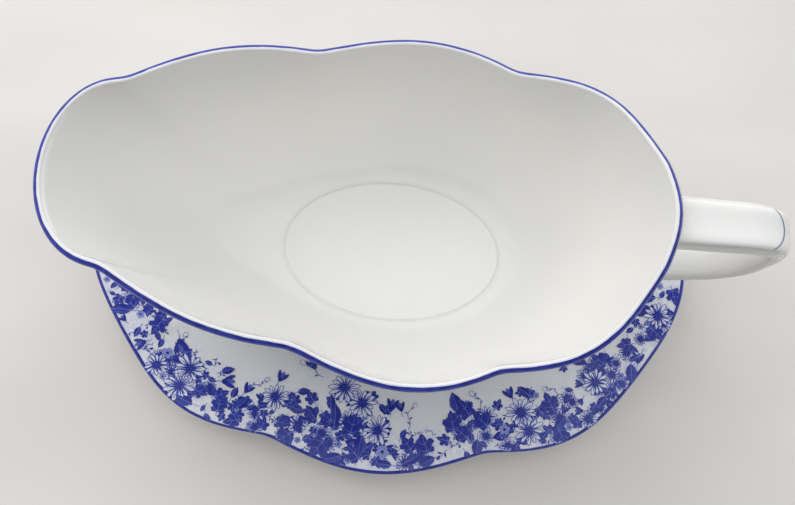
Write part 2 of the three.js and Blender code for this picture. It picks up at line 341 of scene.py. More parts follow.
def plate_outline():
    end, side = PLATE_CUSPS.values()
    quarter = np.vstack([
        lobe((end[0], -end[1]), end, PLATE_BULGE["end"])[LOBE_POINTS // 2:],
        lobe(end, side, PLATE_BULGE["corner"]),
        lobe(side, (-side[0], side[1]), PLATE_BULGE["side"])[:LOBE_POINTS // 2 + 1],
    ])
    tip = np.array([[-end[0] - PLATE_BULGE["end"], 0.0]])
    half = np.vstack([quarter, mirrored(quarter[1:-1], -1, 1), tip])
    return finish_outline(np.vstack([half, mirrored(half[1:-1], 1, -1)]))


def offset(outline, distance):
    tangent = np.roll(outline, -1, axis=0) - np.roll(outline, 1, axis=0)
    tangent /= np.linalg.norm(tangent, axis=1)[:, None]
    return outline + np.stack([tangent[:, 1], -tangent[:, 0]], axis=1) * distance


def oval_under(outline, oval):
    """The points of an oval that lie in line with the points of an outline."""
    span = np.abs(outline).max(axis=0)
    angle = np.arctan2(outline[:, 1] / span[1], outline[:, 0] / span[0])
    return np.stack([oval[0] * np.cos(angle), oval[1] * np.sin(angle)], axis=1)


def at_height(outline, height):
    """A flat outline raised to a height, or to one height for each of its points."""
    heights = np.broadcast_to(np.asarray(height, float), (len(outline),))
    return np.column_stack([outline, heights])


def ovals(outline, oval, base, profile):
    """Rings in line with an outline, at (inset from an oval, height above the base) points."""
    return [at_height(oval_under(outline, np.subtract(oval, inset)), base + up) for inset, up in profile]


def disc(outline, oval, shares, height):
    """Level rings inside an oval, at shares of its size."""
    return [at_height(oval_under(outline, oval) * share, height) for share in shares]


def bearings(outline):
    """The direction of each point from the middle, in degrees."""
    return np.degrees(np.arctan2(outline[:, 1], outline[:, 0]))


def smoothstep(low, high, value):
    t = np.clip((value - low) / (high - low), 0, 1)
    return t * t * (3 - 2 * t)


# ---- Meshes ----

def quads_between(rings):
    """The faces between each ring of a grid of points and the next."""
    index = np.arange(rings.shape[0] * rings.shape[1]).reshape(rings.shape[:2])
    near = index[:-1]
    far = index[1:]
    quads = np.stack([near, np.roll(near, -1, 1), np.roll(far, -1, 1), far], axis=-1)
    return quads.reshape(-1, 4).tolist()


def loft(name, rings, close_start=None, close_end=None):
    """A mesh through rings of points. A given centre height closes the first or the last ring."""
    points = rings.reshape(-1, 3)
    faces = quads_between(rings)
    first_ring = list(range(rings.shape[1]))
    last_ring = list(range(len(points) - rings.shape[1], len(points)))
    for height, ring, forward in ((close_start, first_ring, False), (close_end, last_ring, True)):
        if height is None:
            continue
        centre = len(points)
        points = np.vstack([points, [[0, 0, height]]])
        for a, b in zip(ring, ring[1:] + ring[:1]):
            faces.append([centre, a, b] if forward else [centre, b, a])
    return make_mesh(name, points, faces)


def make_mesh(name, points, faces):
    mesh = bpy.data.meshes.new(name)
    mesh.from_pydata(row_points(points).tolist(), [], faces)
    mesh.validate()
    mesh.polygons.foreach_set("use_smooth", np.ones(len(mesh.polygons), bool))
    mesh.update()
    return add_object(name, mesh)


def write_attribute(obj, name, values):
    filled = np.zeros(len(obj.data.vertices), np.float32)
    filled[:len(values)] = values
    attribute = obj.data.attributes.new(name, "FLOAT", "POINT")
    attribute.data.foreach_set("value", filled)


def bezier(controls, t):
    s = 1 - t
    return 3 * s * s * t * controls[0] + 3 * s * t * t * controls[1] + t ** 3


def rim_height(x):
    base, slope, square, cube = RIM_HEIGHT
    s = x / 100
    return base + slope * s + square * s ** 2 + cube * s ** 3


def wall_between(oval, oval_height, rim, drop, steps):
    """Rings of the bowl's wall from an oval low down to the rim, whose scallops fade down it."""
    toward_spout = np.clip(-oval[:, 0] / np.hypot(*oval.T), 0, None) ** 2
    spread = [a + (b - a) * toward_spout for a, b in zip(BELLY_SPREAD, BELLY_SPREAD_SPOUT)]
    faded = softened(rim, FADED_ROUNDING)
    rings = []
    for t in np.linspace(0, 1, steps + 1):
        scalloped = faded + (rim - faded) * t ** SCALLOP_FADE
        top = rim_height(scalloped[:, 0]) - drop
        out = bezier(spread, t)[:, None]
        up = bezier(BELLY_HEIGHTS, t)
        rings.append(at_height(oval + (scalloped - oval) * out, oval_height + (top - oval_height) * up))
    return rings


def lip_rings(rim, steps_outside=12, steps_inside=7):
    """The rounded lip, over its crown from the outside to the inside, and which ring is the crown."""
    outside = np.linspace(0, math.pi / 2, steps_outside + 1)[1:]
    inside = np.linspace(math.pi / 2, math.pi, steps_inside + 1)[1:-1]
    rings = []
    for angles, width, depth in (
            (outside, LIP_OUTSIDE - LIP_CROWN, LIP_FALL_OUTSIDE),
            (inside, LIP_CROWN - LIP_INSIDE, LIP_FALL_INSIDE)):
        for angle in angles:
            fall = depth * (1 - math.sin(angle))
            edge = offset(rim, LIP_CROWN + width * math.cos(angle))
            rings.append(at_height(edge, rim_height(rim[:, 0]) - fall))
    return rings, steps_outside - 1


def between(start, end, steps, ease=lambda t: t):
    """Rings that run from one ring to another, without the first."""
    return [start + (end - start) * ease(t) for t in np.linspace(0, 1, steps + 1)[1:]]


def along_columns(rings, zero_ring):
    """How far each point lies from a ring, measured over the surface; negative after it."""
    steps = np.linalg.norm(np.diff(rings, axis=0), axis=2)
    run = np.vstack([np.zeros(rings.shape[1]), np.cumsum(steps, axis=0)])
    return run[zero_ring] - run


class Surface:
    """A grid of rings that print is laid on. Its edge is its first or its last ring."""

    def __init__(self, rings, edge_first, facing):
        self.rings = np.asarray(rings)
        edge = 0 if edge_first else -1
        self.depth = np.abs(along_columns(self.rings, edge))
        self.up = -1 if edge_first else 1
        self.facing = facing
        self.tree = BVHTree.FromPolygons(self.rings.reshape(-1, 3).tolist(), quads_between(self.rings))
        self.bearings = bearings(self.rings[edge])

    def spot(self, bearing, depth):
        """(point, east, north, out) where the print at a bearing and a depth below the edge goes."""
        gap = np.abs((self.bearings - bearing + 180) % 360 - 180)
        column = int(gap.argmin())
        row = int(np.abs(self.depth[:, column] - depth).argmin())
        row = min(max(row, 1), len(self.rings) - 2)
        point = Vector(self.rings[row, column])
        north = Vector(self.rings[row + self.up, column] - self.rings[row - self.up, column]).normalized()
        after = self.rings[row, (column + 1) % self.rings.shape[1]]
        east = Vector(after - self.rings[row, column - 1])
        out = east.cross(north).normalized() * self.facing
        return point, out.cross(north).normalized(), north, out


class Print:
    """Thin patches of transfer print, laid on a surface stamp by stamp."""

    def __init__(self, surface, seed):
        self.surface = surface
        self.random = random.Random(seed)
        self.points = []
        self.faces = []
        self.inks = []
        self.stamps = []
        self.base = PRINT_LIFT

    def place(self, bearing, depth, size, tilt):
        self.point, self.east, self.north, self.out = self.surface.spot(bearing, depth)
        self.size = size
        self.tilt = math.radians(tilt)
        self.lift = self.base + PRINT_STEP * (len(self.stamps) % PRINT_HEIGHTS)
        self.stamps.append(tuple(self.point))

    def crowded(self, bearing, depth, room):
        """Whether a stamp lies already within this reach of a place."""
        point = self.surface.spot(bearing, depth)[0]
        return any((point - Vector(stamp)).length < room for stamp in self.stamps)

    def lay(self, flat, layer):
        """A stamp's flat points, dropped onto the surface and cut off at its edge.

        None if the first of them misses it.
        """
        laid = []
        cos, sin = math.cos(self.tilt) * self.size, math.sin(self.tilt) * self.size
        for u, v in flat:
            above = self.point + self.east * (u * cos - v * sin) + self.north * (u * sin + v * cos)
            start = above + self.out * DROP_FROM
            hit = self.surface.tree.ray_cast(start, -self.out, DROP_REACH)[0]
            if hit is None and not laid:
                return None
            if hit is None:
                hit = self.surface.tree.find_nearest(above)[0]
            laid.append(hit + self.out * (self.lift + PRINT_LAYER * layer))
        return laid

    def add(self, laid, faces, ink):
        start = len(self.points)
        self.points.extend(laid)
        self.faces.extend([start + index for index in face] for face in faces)
        self.inks.extend(ink)

    def patch(self, outline, ink, layer, heart=None):
        """A filled shape. Its middle may take the ink more strongly than its edge."""
        middle = tuple(np.mean(outline, axis=0))
        laid = self.lay([middle] + list(outline), layer)
        if laid is None:
            return
        count = len(outline)
        faces = [[0, 1 + k, 1 + (k + 1) % count] for k in range(count)]
        self.add(laid, faces, [ink if heart is None else heart] + [ink] * count)

    def stroke(self, line, width, ink, layer, taper=1.0):
        """A pen line along flat points. It narrows to a share of its width at the end."""
        line = np.array(line, float)
        along = np.gradient(line, axis=0)
        along /= np.linalg.norm(along, axis=1)[:, None] + 1e-9
        side = np.stack([-along[:, 1], along[:, 0]], axis=1)
        half = width / 2 / self.size * np.linspace(1, taper, len(line))[:, None]
        laid = self.lay(np.vstack([line + side * half, line - side * half]), layer)
        if laid is None:
            return
        count = len(line)
        faces = [[k, k + count, k + count + 1, k + 1] for k in range(count - 1)]
        self.add(laid, faces, [ink] * (2 * count))

    def mesh(self, name):
        obj = make_mesh(name, np.array([tuple(point) for point in self.points]), self.faces)
        write_attribute(obj, "ink", self.inks)
        return obj


# ---- The stamps of the print, about 10 mm tall at size 1 and pointing away from the well ----

def polar(angle, radius):
    return math.cos(angle) * radius, math.sin(angle) * radius


def dot(centre, radius):
    return [(centre[0] + radius * math.cos(a), centre[1] + radius * math.sin(a)) for a in DOT_ANGLES]


def halo(ink, reach):
    """The ragged ground of ink under a stamp."""
    return [polar(math.tau * k / 20, reach * ink.random.uniform(0.8, 1.15)) for k in range(20)]


def daisy(ink):
    """White petals in outline round a dark, ragged heart."""
    petals = ink.random.choice((12, 13, 14))
    for k in range(petals):
        angle = math.tau * (k + ink.random.uniform(-0.15, 0.15)) / petals
        length = ink.random.uniform(3.7, 4.9)
        width = ink.random.uniform(0.5, 0.72)
        petal = [(0.9 + (length - 0.9) * t, width * math.sin(math.pi * t ** 1.25) ** 0.75)
                 for t in PETAL_STEPS]
        petal += [(x, -y) for x, y in petal[-2::-1]]
        turned = [polar(math.atan2(y, x) + angle, math.hypot(x, y)) for x, y in petal]
        ink.patch(turned, 0.03, 1, heart=0.14)
        ink.stroke(turned + turned[:1], 0.22, 0.72, 2)
        bend = ink.random.uniform(-0.06, 0.06)
        shade = [polar(angle + bend * r, r) for r in (0.9, 1.7, 2.5, length * 0.74)]
        ink.stroke(shade, 0.55, 0.9, 2, taper=0.15)
    ragged = [polar(math.tau * k / 18, ink.random.uniform(1.0, 1.75) if k % 2 else 1.0) for k in range(18)]
    ink.patch(halo(ink, 2.5), 0.34, 0)
    ink.patch(ragged, 0.9, 3, heart=1.0)
    for k in range(4):
        ink.patch(dot(polar(math.tau * k / 4 + 0.5, 0.5), 0.12), 0.45, 4)


def ivy(ink):
    """A dark leaf with five points, its veins left pale."""
    right = [
        (0.5, -0.4), (1.7, -0.6), (2.0, 0.4), (1.6, 0.9), (2.5, 1.7), (1.9, 2.7), (1.05, 2.5), (0.75, 3.6),
    ]
    sway = ink.random.uniform(-0.25, 0.25)
    outline = right + [(sway, 4.6)] + [(-x, y) for x, y in right[::-1]]
    ink.patch([(x + ink.random.uniform(-0.15, 0.15), y) for x, y in outline], 0.86, 2, heart=1.0)
    ink.stroke([(0, -1.6), (0, 0), (sway / 2, 1.9), (sway, 4.0)], 0.26, 0.42, 3, taper=0.3)
    for x, y in ((2.0, 0.7), (-2.0, 0.7), (1.4, 2.4), (-1.4, 2.4)):
        ink.stroke([(0, y - 0.8), (x * 0.5, y - 0.35), (x, y)], 0.2, 0.45, 3, taper=0.3)


def leaf(ink):
    """A pointed leaf, one half of it shaded darker than the other."""
    bend = ink.random.uniform(-0.6, 0.6)
    edge = [(0.0, 0.0), (0.85, 0.8), (1.25, 1.9), (0.95, 3.1), (0.0, 4.4)]
    right = [(x + bend * (y / 4.4) ** 2, y) for x, y in edge]
    left = [(-x + bend * (y / 4.4) ** 2, y) for x, y in edge]
    ink.patch(right + left[-2:0:-1], 0.78, 2, heart=0.9)
    ink.patch(left, 0.98, 3)
    ink.stroke([(0, -1.4), (0, 0), (bend * 0.3, 2.2), (bend, 4.2)], 0.22, 0.4, 4, taper=0.3)


def bud(ink):
    """A dark flower half open above its cup."""
    for lean, shade in ((-0.45, 0.8), (0.45, 0.8), (0, 0.5)):
        rise = (0.5, 1.5, 2.6, 3.5, 4.1)
        right = [(lean * y + 0.78 * math.sin(math.pi * y / 4.4), y) for y in rise]
        left = [(lean * y - 0.78 * math.sin(math.pi * y / 4.4), y) for y in rise[::-1]]
        ink.patch(right + left, shade, 2, heart=min(1, shade + 0.2))
        ink.stroke(right + left + right[:1], 0.16, 0.9, 3)
    cup = [(-0.9, 1.9), (-0.8, 0.4), (0, -0.1), (0.8, 0.4), (0.9, 1.9), (0.35, 1.2), (0, 2.2), (-0.35, 1.2)]
    ink.patch(cup, 0.98, 4)
    ink.stroke([(0, 0), (0.15, -1.2), (-0.1, -2.6)], 0.24, 0.7, 2, taper=0.5)


def floret(ink):
    """A small flower of five round petals."""
    for k in range(5):
        ring = dot(polar(math.tau * k / 5 + 0.3, 0.95), 0.62)
        ink.patch(ring, 0.22, 1, heart=0.5)
        ink.stroke(ring + ring[:1], 0.14, 0.6, 2)
    ink.patch([polar(a, 0.45) for a in DOT_ANGLES], 0.95, 3)


def tendril(ink):
    """A curling stem with tiny leaves by turns on both sides."""
    swing = ink.random.choice((-1, 1)) * ink.random.uniform(0.7, 1.2)
    reach = ink.random.uniform(6.5, 9.0)
    steps = np.linspace(0, 1, 16)
    stem = [(swing * math.sin(2.6 * math.pi * t) * (0.3 + 0.9 * t), reach * t) for t in steps]
    hook = [polar(math.pi * (0.1 + 1.2 * t), 0.8) for t in steps[::3]]
    end = stem[-1]
    stem += [(end[0] - 0.8 + x, end[1] + y) for x, y in hook]
    ink.stroke(stem, 0.2, 0.6, 2, taper=0.7)
    for index in range(3, 15, 3):
        x, y = stem[index]
        side = 1 if index % 2 else -1
        blade = [(0, 0), (0.55, 0.25), (1.35, 0.95), (0.45, 0.8)]
        ink.patch([(x + u * side, y + v) for u, v in blade], ink.random.uniform(0.6, 0.85), 3)


def sprig(ink):
    """A short stem with a pair of leaves and a closed bud."""
    ink.stroke([(0, 0), (0.2, 1.5), (-0.1, 3.2)], 0.22, 0.65, 2, taper=0.6)
    for side, y in ((1, 0.9), (-1, 1.7)):
        blade = [(0, y), (0.7 * side, y + 0.15), (1.7 * side, y + 1.0), (0.7 * side, y + 0.95)]
        ink.patch(blade, 0.8, 3, heart=0.95)
    tip = [(-0.1 + 0.5 * math.cos(a), 3.7 + 0.8 * math.sin(a)) for a in DOT_ANGLES]
    ink.patch(tip, 0.7, 3, heart=1.0)


# ---- Where the stamps go ----

STAMP_SIZE = {daisy: 1.1, ivy: 1.3, leaf: 1.35, bud: 1.25, floret: 1.2, tendril: 1.2, sprig: 1.2}
BUNCH_KINDS = (leaf, leaf, ivy, ivy, ivy, bud, floret, sprig, daisy)

# (stamp, bearing from the handle, depth below the edge, size, tilt) on the near half
PLATE_SPRAYS = (
    # end by the spout
    (ivy, -171, 5, 0.9, 60), (daisy, -177, 10, 0.9, 0), (leaf, -168, 12, 1, -30),
    (leaf, -162, 6, 1.15, 20), (ivy, -158, 13, 1, -40), (bud, -152, 15, 0.95, -80),
    (tendril, -163, 17, 0.9, 160),
    # corner by the spout
    (daisy, -144, 12, 1.05, 0), (daisy, -142.5, 5.5, 1.1, 20), (daisy, -148.5, 3.8, 0.8, 0),
    (leaf, -139, 18, 0.8, 200), (bud, -137, 15.5, 0.85, 220), (ivy, -139, 8, 0.75, 240),
    (ivy, -135, 9.5, 0.8, 200), (leaf, -137, 3.5, 1.25, 60), (ivy, -132, 5, 0.9, 150),
    (leaf, -129, 8, 0.9, 190), (ivy, -127.5, 3.6, 0.8, 40), (floret, -150, 9, 1, 0),
    (tendril, -150, 12, 0.8, 150), (tendril, -131, 17, 0.7, 200),
    # at the cusp
    (daisy, -123.5, 15, 0.95, 0), (bud, -126, 21, 0.7, 170), (leaf, -118.5, 17.5, 0.75, 230),
    (leaf, -119, 12, 1, 250), (ivy, -118.5, 6, 0.75, 250), (sprig, -124, 7, 1, 150),
    (ivy, -114, 3.8, 0.95, 30),
    # middle
    (daisy, -104.5, 25.5, 1.05, 0), (daisy, -96.5, 22.5, 1, 15), (daisy, -90, 14, 1, 30),
    (bud, -118, 27, 0.75, 120), (ivy, -112, 17, 0.75, 120), (leaf, -106, 17, 0.9, 160),
    (leaf, -103, 13, 1.2, 170), (ivy, -98, 12, 1.15, 180), (leaf, -94, 12, 1.2, 10),
    (ivy, -105, 6, 1.15, 20), (leaf, -99, 4, 1.1, 60), (ivy, -94, 4.5, 0.95, 130),
    (floret, -88, 7, 1.2, 0), (bud, -85.5, 21, 0.75, 190), (bud, -82, 20.5, 0.6, 170),
    (leaf, -110, 12, 0.9, 120), (tendril, -113, 26, 0.9, 100), (tendril, -80, 14, 0.8, 190),
    (ivy, -80, 7.5, 0.9, 150), (leaf, -82, 3.5, 1, 250), (ivy, -76, 5.8, 1.05, 170),
    (leaf, -86, 3.0, 0.9, 100), (leaf, -74, 3.2, 1, 80), (daisy, -100, 15.5, 0.7, 0),
    # leaves at the next cusp
    (ivy, -67, 10.5, 1.1, 190), (leaf, -63.5, 15, 1.3, 185), (ivy, -60.5, 14, 1.1, 170),
    (ivy, -64.5, 6.8, 0.9, 150), (ivy, -57, 10.5, 1, 160), (leaf, -61.5, 5.5, 1.1, 30),
    (sprig, -70, 5, 0.9, 60), (tendril, -56, 15, 0.9, 180),
    # corner by the handle
    (daisy, -47, 15, 1.05, 0), (daisy, -48.5, 7.5, 1.05, 10), (leaf, -42, 20, 0.8, 170),
    (bud, -46.5, 21, 0.7, 190), (ivy, -40, 13, 0.95, 200), (leaf, -39, 8, 1, 90),
    (ivy, -43, 4.5, 0.95, 20), (leaf, -53, 4, 1, 40), (floret, -53.5, 9, 1, 0),
    (sprig, -35, 5, 0.9, 30), (tendril, -36, 14, 0.8, 160),
    (daisy, -28.5, 10, 0.95, 0), (ivy, -23.5, 12, 0.95, 190), (leaf, -20.5, 4.5, 1.2, 60),
    (bud, -25.5, 16, 0.8, 180), (leaf, -30, 3.8, 0.9, 100), (ivy, -17, 9, 0.8, 150),
    # end by the handle
    (daisy, -9, 6, 0.95, 0), (ivy, -12.5, 5, 0.85, 30), (leaf, -5, 9, 1.1, 170),
    (ivy, -3, 3.8, 0.9, 70), (bud, -8, 13, 0.8, 180), (tendril, -14, 15, 0.8, 190),
)

# (bearing, depth, reach, stamps) of the heaps of small stamps round the sprays
PLATE_BUNCHES = (
    (-167, 9, 8, 30), (-157, 8, 6, 16), (-143, 9, 9, 80), (-132, 8, 6, 30),
    (-123, 9, 7, 30), (-113, 6, 5, 16), (-103, 9, 9, 90), (-95, 14, 8, 50),
    (-88, 8, 6, 30), (-79, 6, 5, 24), (-63, 9, 6, 40), (-53, 6, 5, 18),
    (-44, 10, 9, 90), (-34, 6, 5, 16), (-25, 8, 8, 60), (-10, 7, 7, 40),
)

# The same as the sprays, on one side of the boat
BOAT_SPRAYS = (
    (daisy, -96, 18, 1.1, 0), (daisy, -88, 24, 1.05, 0), (daisy, -84, 14, 1, 0),
    (ivy, -104, 14, 1.1, 120), (leaf, -103, 22, 1.2, 150), (ivy, -92, 10, 1, 20),
    (leaf, -79, 20, 1.2, 230), (ivy, -76, 12, 1.1, 250), (bud, -98, 29, 0.9, 160),
    (bud, -84, 32, 0.9, 190), (tendril, -107, 20, 1, 110), (tendril, -72, 18, 1, 250),
    (floret, -90, 17, 1.1, 0), (leaf, -88, 7, 1, 60), (sprig, -108, 9, 1, 70),
    (daisy, -42, 15, 1, 0), (ivy, -49, 12, 1, 130), (leaf, -37, 11, 1.1, 240),
    (leaf, -44, 22, 1.1, 180), (bud, -36, 19, 0.85, 210), (tendril, -51, 19, 0.9, 140),
    (floret, -47, 8, 1, 0), (sprig, -33, 8, 1, 300),
    (daisy, -141, 16, 1, 0), (ivy, -147, 12, 1, 120), (leaf, -135, 12, 1.1, 250),
    (leaf, -142, 24, 1, 180), (bud, -148, 20, 0.85, 150), (tendril, -133, 20, 0.9, 210),
    (ivy, -157, 14, 0.9, 100), (daisy, -163, 19, 0.8, 0), (leaf, -169, 15, 0.9, 90),
)


def stamp_all(ink, arrangement, turns):
    """Lay an arrangement, once for each (turn, mirror) of it."""
    for turned, mirror in turns:
        for stamp, bearing, depth, size, tilt in arrangement:
            ink.place(turned + bearing * mirror, depth, size * STAMP_SIZE[stamp], tilt * mirror)
            stamp(ink)


def bunch(ink, bearing, depth, reach, tries):
    """Small stamps heaped round a place, thickest in its middle."""
    point = ink.surface.spot(bearing, depth)[0]
    degree = math.radians(1) * math.hypot(point.x, point.y)
    for _ in range(tries):
        aside = bearing + ink.random.gauss(0, reach / 2) / degree
        below = max(depth + ink.random.gauss(0, reach / 2), BUNCH_EDGE)
        if ink.crowded(aside, below, BUNCH_ROOM):
            continue
        stamp = ink.random.choice(BUNCH_KINDS)
        size = ink.random.uniform(0.42, 0.72) * STAMP_SIZE[stamp]
        ink.place(aside, below, size, ink.random.uniform(0, 360))
        stamp(ink)


def strew(ink, count, low, high, room, kinds):
    """Small stamps strewn all round between two depths, where there is room."""
    for k in range(count):
        bearing = 360 * (k + ink.random.uniform(-0.3, 0.3)) / count
        depth = low + (high - low) * ink.random.random() ** 1.5
        if ink.crowded(bearing, depth, room):
            continue
        ink.place(bearing, depth, ink.random.uniform(0.5, 0.85), ink.random.uniform(0, 360))
        ink.random.choice(kinds)(ink)


def wash_near(rings, stamps, reach):
    """How much of the pale wash each point takes from the stamps near it."""
    points = rings.reshape(-1, 3)
    wash = np.zeros(len(points))
    for stamp in stamps:
        square = ((points - np.array(stamp)) ** 2).sum(axis=1)
        wash = np.maximum(wash, np.exp(-square / (2 * reach ** 2)))
    return wash


# ---- The boat and the underplate ----

def casting(name, rings, centre_heights, lip_ring, base):
    """A casting's mesh. Each point is told how far it is from the lip, and whether it is unglazed."""
    obj = loft(name, rings, *centre_heights)
    write_attribute(obj, "from_lip", along_columns(rings, lip_ring).ravel())
    write_attribute(obj, "bare", (rings[:, :, 2] < base + BARE_HEIGHT).ravel())
    return obj


def boat_body():
    rim = rim_outline()
    hollow = np.subtract(FOOT_OVAL, FOOT_PROFILE[0][0])
    hollow_height = FOOT_BASE + FOOT_HEIGHT - FOOT_TAPER
    underside = disc(rim, hollow, (0.3, 0.7, 0.96), hollow_height)
    foot = ovals(rim, FOOT_OVAL, FOOT_BASE, FOOT_PROFILE)
    waist = oval_under(rim, np.subtract(FOOT_OVAL, FOOT_TAPER))
    outside = wall_between(
        waist, FOOT_BASE + FOOT_HEIGHT, offset(rim, LIP_OUTSIDE), LIP_FALL_OUTSIDE, OUTSIDE_RINGS)
    lip, crown = lip_rings(rim)
    floor = oval_under(rim, FLOOR_OVAL)
    inside = wall_between(floor, FLOOR_HEIGHT, offset(rim, LIP_INSIDE), LIP_FALL_INSIDE, INSIDE_RINGS)[::-1]
    crease, bead = ovals(rim, FLOOR_OVAL, FLOOR_HEIGHT, (FLOOR_CREASE, FLOOR_BEAD))
    well = disc(rim, WELL_OVAL, (1, 0.9, 0.6, 0.3), WELL_FLOOR)
    slope = [crease] + between(crease, bead, 6, lambda t: smoothstep(0, 1, t))
    slope += between(bead, well[0], 8)
    rings = np.array(underside + foot + outside + lip + inside + slope + well[1:])
    crown_ring = len(underside) + len(foot) + len(outside) + crown
    obj = casting("boat_body_china", rings, (hollow_height, WELL_FLOOR), crown_ring, FOOT_BASE)
    return obj, rings, crown_ring, Surface(outside + lip[:crown], edge_first=False, facing=1)


def plate_top(share):
    """The height of the plate's top at a share of the way from its well to its edge."""
    verge = PLATE_VERGE_RISE * smoothstep(0, PLATE_VERGE_WIDTH, share)
    flange = (PLATE_EDGE_HEIGHT - PLATE_WELL_HEIGHT - PLATE_VERGE_RISE) * share
    return PLATE_WELL_HEIGHT + verge + flange


def plate_underside(share):
    return plate_top(share) - (PLATE_THICKNESS + (PLATE_EDGE_THICKNESS - PLATE_THICKNESS) * share)


def plate_ridges(edge):
    """How high the ridges that run in from the cusps are, in line with each point of the edge."""
    ridges = np.zeros(len(edge))
    for x, y in PLATE_CUSPS.values():
        for cusp in bearings(np.array([(x, y), (x, -y), (-x, y), (-x, -y)])):
            gap = (bearings(edge) - cusp + 180) % 360 - 180
            ridges += PLATE_RIDGE * np.exp(-(gap / PLATE_RIDGE_WIDTH) ** 2)
    return ridges


def underplate():
    edge = plate_outline()
    well = oval_under(edge, PLATE_WELL)
    ridges = plate_ridges(edge)

    def ring(share, height, inset=0.0):
        return at_height(well + (offset(edge, -inset) - well) * share, height)

    hollow = np.subtract(PLATE_FOOT_OVAL, PLATE_FOOT_PROFILE[0][0])
    hollow_height = PLATE_WELL_HEIGHT - PLATE_THICKNESS
    underside = disc(edge, hollow, (0.3, 0.7, 0.95), hollow_height)
    foot_top = (-PLATE_FOOT_TAPER, plate_underside(0.1) - 0.3)
    foot = ovals(edge, PLATE_FOOT_OVAL, 0, PLATE_FOOT_PROFILE + (foot_top,))
    outward = [ring(share, plate_underside(share)) for share in np.linspace(0.14, 0.97, PLATE_UNDER_RINGS)]
    inwards, upwards = PLATE_ROUNDING
    round_edge = []
    for angle in np.radians(np.linspace(-80, 80, 13)):
        height = PLATE_EDGE_HEIGHT - upwards * (1 - math.sin(angle))
        round_edge.append(ring(1, height, inwards * (1 - math.cos(angle))))
    inward = []
    for share in np.linspace(0.985, 0.0, PLATE_TOP_RINGS) ** 1.1:
        fade = smoothstep(0.12, 0.45, share) * (1 - smoothstep(0.9, 0.985, share))
        inward.append(ring(share, plate_top(share) + ridges * fade))
    middle = disc(edge, PLATE_WELL, (0.9, 0.6, 0.3), PLATE_WELL_HEIGHT)
    rings = np.array(underside + foot + outward + round_edge + inward + middle)
    edge_ring = len(underside) + len(foot) + len(outward) + len(round_edge) - 1
    obj = casting("underplate_china", rings, (hollow_height, PLATE_WELL_HEIGHT), edge_ring, 0)
    return obj, rings, edge_ring, Surface(round_edge[-3:] + inward, edge_first=True, facing=-1)


# ---- Handle ----

def blend(a, b, start, end, t):
    """On the straight way from a, at start, to b, at end."""
    return ((end - t) * a + (t - start) * b) / (end - start)


def smooth_curve(knots, count):
    """Evenly spaced points and tangents on a centripetal Catmull-Rom curve, and its length."""
    points = np.array(knots, float)
    points = np.vstack([2 * points[0] - points[1], points, 2 * points[-1] - points[-2]])
    samples = []
    for four in zip(points, points[1:], points[2:], points[3:]):
        times = [0.0]
        for a, b in zip(four, four[1:]):
            times.append(times[-1] + math.sqrt(np.linalg.norm(b - a)))
        for t in np.linspace(times[1], times[2], 40, endpoint=False):
            three = [blend(*pair, t) for pair in zip(four, four[1:], times, times[1:])]
            two = [blend(*pair, t) for pair in zip(three, three[1:], times, times[2:])]
            samples.append(blend(*two, times[1], times[2], t))
    samples = np.array(samples + [points[-2]])
    run = np.concatenate([[0], np.cumsum(np.linalg.norm(np.diff(samples, axis=0), axis=1))])
    at = np.linspace(0, run[-1], count)
    even = np.stack([np.interp(at, run, samples[:, k]) for k in range(2)], axis=1)
    tangent = np.gradient(even, axis=0)
    return even, tangent / np.linalg.norm(tangent, axis=1)[:, None], run[-1]


def strap_width(t):
    at_rim, at_bend, at_belly = STRAP_WIDTH
    narrowing = at_rim + (at_bend - at_rim) * t / 0.4
    return np.where(t < 0.4, narrowing, at_bend + (at_belly - at_bend) * smoothstep(0.55, 1, t))


def strap_section(t, angle):
    """(across, outward) points of the strap's section: flat with a shallow channel, then round."""
    rounding = smoothstep(0.26, 0.36, t)
    power = 0.45 + 0.45 * rounding
    across = np.sign(np.cos(angle)) * np.abs(np.cos(angle)) ** (0.5 + 0.3 * rounding)
    outward = np.sign(np.sin(angle)) * np.abs(np.sin(angle)) ** power
    channel = np.where(outward > 0, STRAP_CHANNEL * (1 - rounding) * (1 - across ** 2) ** 2, 0)
    moulding = STRAP_LEDGE * (1 - smoothstep(-0.05, 0.25, outward))
    moulding -= STRAP_GROOVE * np.exp(-((outward - 0.3) / 0.15) ** 2)
    half_width = strap_width(t) / 2 + moulding * (1 - rounding)
    return across * half_width, outward * STRAP_THICKNESS / 2 - channel


def strap():
    """(points, which way each flares, distance along the strap at each step, angles round it)"""
    line, tangent, length = smooth_curve(HANDLE_LINE, STRAP_STEPS)
    angles = np.linspace(0, 2 * math.pi, STRAP_SIDES, endpoint=False)
    points = np.zeros((STRAP_STEPS, STRAP_SIDES, 3))
    flare = np.zeros((STRAP_STEPS, STRAP_SIDES, 3))
    for step in range(STRAP_STEPS):
        across, outward = strap_section(step / (STRAP_STEPS - 1), angles)
        away = np.array([-tangent[step, 1], tangent[step, 0]])
        points[step] = np.column_stack([
            line[step, 0] + away[0] * outward, across + HANDLE_ASIDE, line[step, 1] + away[1] * outward])
        flare[step] = np.column_stack([away[0] * np.sin(angles), np.cos(angles), away[1] * np.sin(angles)])
    return points, flare, np.linspace(0, length, STRAP_STEPS), angles


def meets_wall(wall, points, run, clear, last):
    """How far along the strap each of its sides meets the wall, looking from a clear step to an end."""
    meets = []
    for side in range(STRAP_SIDES):
        start = Vector(points[clear, side])
        toward = Vector(points[-1 if last else 0, side]) - start
        hit = wall.tree.ray_cast(start, toward.normalized())[0]
        gone = (hit - start).length if hit else toward.length
        meets.append(run[clear] + (gone if last else -gone))
    return np.array(meets)


